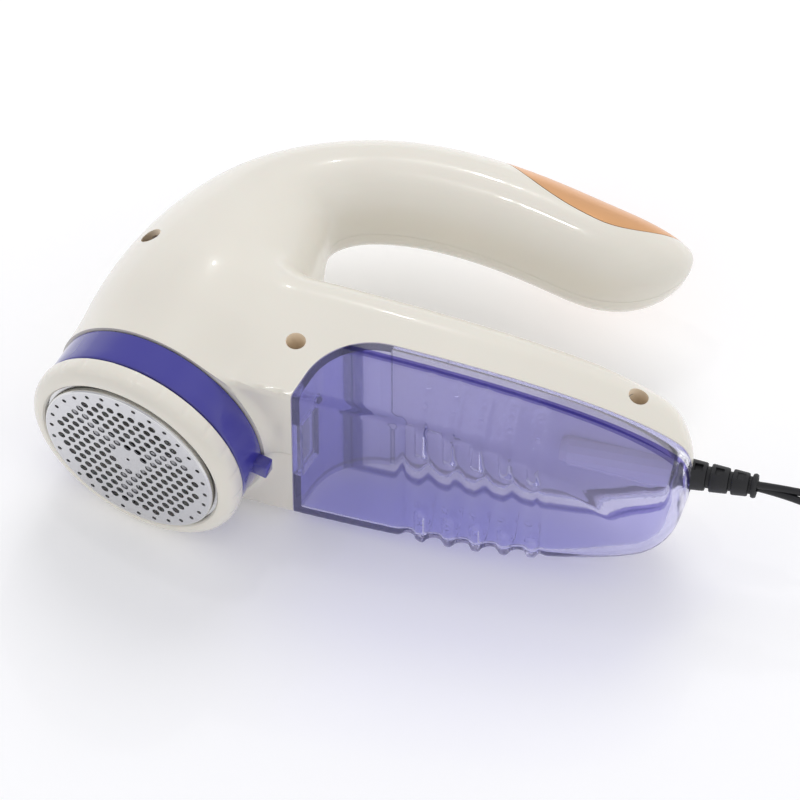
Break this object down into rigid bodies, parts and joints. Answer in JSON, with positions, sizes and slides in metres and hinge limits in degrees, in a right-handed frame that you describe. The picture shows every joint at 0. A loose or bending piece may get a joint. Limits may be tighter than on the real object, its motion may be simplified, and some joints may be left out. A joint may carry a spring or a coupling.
{
  "type": "fabric shaver",
  "caption": "Corded fabric shaver with a curved open grip, perforated steel foil under a screw ring, blue depth collar and a see-through violet lint box.",
  "frame": {"origin": "centre of the foil's flat front face, in the body's mid-plane", "axes": "-Y out of the foil along the head axis, +X to the rear where the cord leaves, +Z across the body so the tool lies on its side"},
  "size_m": [0.2381, 0.1509, 0.07],
  "materials": {
    "ivory": "glossy moulded ivory ABS",
    "violet": "clear violet, see-through, glossy",
    "blue": "glossy indigo blue",
    "foil_steel": "bright perforated steel",
    "blade_steel": "ground steel",
    "zinc": "zinc plated",
    "copper": "satin copper lacquer",
    "rubber": "satin black",
    "pvc": "satin black flex",
    "white_nylon": "matt white nylon",
    "bronze": "sintered bronze",
    "board": "green board",
    "epoxy": "matt black",
    "cap_sleeve": "blue sleeve",
    "red_wire": "red insulation",
    "blue_wire": "blue insulation"
  },
  "bodies": {
    "root": {"near_casing": "ivory", "far_casing": "ivory", "handle_trim": "copper", "bay_liner": "ivory", "motor_can": "zinc", "motor_end_cap": "epoxy", "front_bearing": "bronze", "rear_bearing": "bronze", "motor_plate": "white_nylon", "motor_screw_1": "zinc", "motor_screw_2": "zinc", "lint_duct": "white_nylon", "circuit_board": "board", "rectifier": "epoxy", "capacitor": "cap_sleeve", "switch_body": "epoxy", "motor_lead_live": "red_wire", "motor_lead_neutral": "blue_wire", "switch_lead": "blue_wire", "strain_relief": "rubber", "power_cord": "pvc", "case_screw_1": "zinc", "case_screw_2": "zinc", "case_screw_3": "zinc"},
    "rotor": {"motor_shaft": "zinc", "suction_fan": "white_nylon", "cutter_hub": "white_nylon", "blade_spring": "zinc", "cutter_blade": "blade_steel", "blade_nut": "bronze", "armature": "bronze"},
    "collar": {"adjust_collar": "blue"},
    "carrier": {"foil_carrier": "white_nylon"},
    "foil_set": {"foil": "foil_steel"},
    "ring": {"foil_ring": "ivory"},
    "box": {"lint_box": "violet"},
    "switch": {"switch_slider": "epoxy"}
  },
  "joints": [
    {"name": "rotor_spin", "type": "hinge", "parent": "root", "child": "rotor", "pos_m": [0, 0.027, 0], "axis": [0, 1, 0], "continuous": true},
    {"name": "collar_turn", "type": "hinge", "parent": "root", "child": "collar", "pos_m": [0, 0.01465, 0], "axis": [0, 1, 0], "range_deg": [-25, 25]},
    {"name": "height_shift", "type": "slide", "parent": "root", "child": "carrier", "axis": [0, 1, 0], "range_m": [-0.0004, 0.0004]},
    {"name": "foil_lift", "type": "slide", "parent": "carrier", "child": "foil_set", "axis": [0, -1, 0], "range_m": [0, 0.03]},
    {"name": "ring_turn", "type": "hinge", "parent": "foil_set", "child": "ring", "pos_m": [0, 0.005, 0], "axis": [0, 1, 0], "range_deg": [0, 60]},
    {"name": "box_pull", "type": "slide", "parent": "root", "child": "box", "axis": [0.2164, -0.9763, 0], "range_m": [0, 0.045]},
    {"name": "switch_slide", "type": "slide", "parent": "root", "child": "switch", "axis": [-1, 0, 0], "range_m": [0, 0.007]}
  ],
  "couplings": [
    {"joint": "height_shift", "follows": "collar_turn", "m_per_rad": 0.0009}
  ]
}
